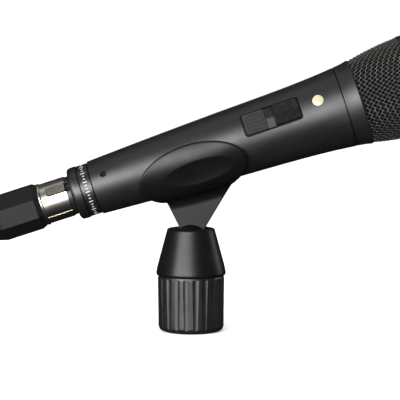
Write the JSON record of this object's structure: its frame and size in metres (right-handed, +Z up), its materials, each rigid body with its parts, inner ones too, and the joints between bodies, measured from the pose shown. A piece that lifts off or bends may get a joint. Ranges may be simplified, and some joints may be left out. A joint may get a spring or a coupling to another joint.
{
  "type": "dynamic microphone",
  "caption": "Handheld vocal microphone with a mute switch, resting in a ball-jointed stand clip, with a latching line connector in its tail.",
  "frame": {"origin": "mouth of the clip's stand thread, on the thread's axis", "axes": "+Z up along the stand thread, +X towards the side the microphone's head points to, microphone in the XZ plane"},
  "size_m": [0.244, 0.0472, 0.1404],
  "materials": {
    "black_enamel": "matt black powder coat",
    "grille_wire": "black coated woven steel wire",
    "inner_foam": "open-cell black foam",
    "nickel": "satin nickel plate",
    "screw_steel": "zinc-plated steel",
    "satin_plastic": "satin black moulding",
    "gloss_plastic": "semi-gloss black moulding",
    "grey_plastic": "fine-textured dark grey",
    "light_grey_plastic": "satin light grey",
    "cream_plastic": "glossy cream",
    "brass": "machined brass",
    "gold_plate": "gold-plated brass",
    "copper": "enamelled copper wire",
    "rubber": "black moulded rubber",
    "boot_rubber": "satin black elastomer",
    "board_green": "solder-masked laminate",
    "magnet_metal": "nickel-plated magnet alloy",
    "film": "clear moulded film",
    "lead_cover": "red wire insulation"
  },
  "bodies": {
    "base": {"stand_base": "satin_plastic", "thread_insert": "brass", "friction_ring": "rubber"},
    "collar": {"lock_collar": "gloss_plastic"},
    "swivel": {"ball_seat": "satin_plastic"},
    "clip": {"clip_cradle": "gloss_plastic", "swivel_ball": "gloss_plastic", "ball_screw": "screw_steel"},
    "microphone": {"handle": "black_enamel", "end_ring": "satin_plastic", "marking_ring": "black_enamel", "connector_cup": "screw_steel", "male_insert": "satin_plastic", "contact_pins": "gold_plate", "set_screw": "screw_steel", "circuit_board": "board_green", "switch_module": "satin_plastic", "board_screws": "screw_steel", "board_carrier": "satin_plastic", "transformer": "screw_steel", "damping_plug": "inner_foam", "tail_leads": "lead_cover", "switch_frame": "satin_plastic", "switch_plate": "grey_plastic", "switch_marker": "light_grey_plastic", "indicator_dot": "cream_plastic", "neck_ring": "screw_steel", "shock_mount": "rubber", "capsule_housing": "satin_plastic", "magnet_yoke": "screw_steel", "magnet": "magnet_metal", "pole_piece": "screw_steel", "voice_coil": "copper", "diaphragm": "film", "diaphragm_ring": "satin_plastic", "capsule_cap": "satin_plastic", "capsule_leads": "lead_cover"},
    "head": {"head_collar": "black_enamel", "grille_cone": "grille_wire", "grille_band": "black_enamel", "grille_dome": "grille_wire", "windscreen": "inner_foam"},
    "switch": {"switch_slider": "grey_plastic"},
    "plug": {"line_insert": "satin_plastic", "line_sockets": "gold_plate", "line_shell": "nickel", "latch_spring": "screw_steel", "line_boot": "boot_rubber", "cable_chuck": "satin_plastic"},
    "latch": {"latch_button": "nickel"}
  },
  "joints": [
    {"name": "collar_turn", "type": "hinge", "parent": "base", "child": "collar", "pos_m": [0, 0, 0.037], "axis": [0, 0, 1], "range_deg": [0, 270]},
    {"name": "clip_pan", "type": "hinge", "parent": "base", "child": "swivel", "pos_m": [0, 0, 0.041], "axis": [0, 0, 1], "continuous": true},
    {"name": "clip_tilt", "type": "hinge", "parent": "swivel", "child": "clip", "pos_m": [0, 0, 0.041], "axis": [0, -1, 0], "range_deg": [-9, 16]},
    {"name": "microphone_slide", "type": "slide", "parent": "clip", "child": "microphone", "axis": [0.9511, 0, 0.309], "range_m": [0, 0.09]},
    {"name": "head_off", "type": "slide", "parent": "microphone", "child": "head", "axis": [0.9511, 0, 0.309], "range_m": [0, 0.055]},
    {"name": "switch_slide", "type": "slide", "parent": "microphone", "child": "switch", "axis": [-0.9511, 0, -0.309], "range_m": [0, 0.0036]},
    {"name": "plug_out", "type": "slide", "parent": "microphone", "child": "plug", "axis": [-0.9511, 0, -0.309], "range_m": [0, 0.03]},
    {"name": "latch_press", "type": "slide", "parent": "plug", "child": "latch", "axis": [0.1728, 0.829, -0.5318], "range_m": [0, 0.0009], "stiffness_N_per_m": 800, "springref_m": -0.0004}
  ]
}
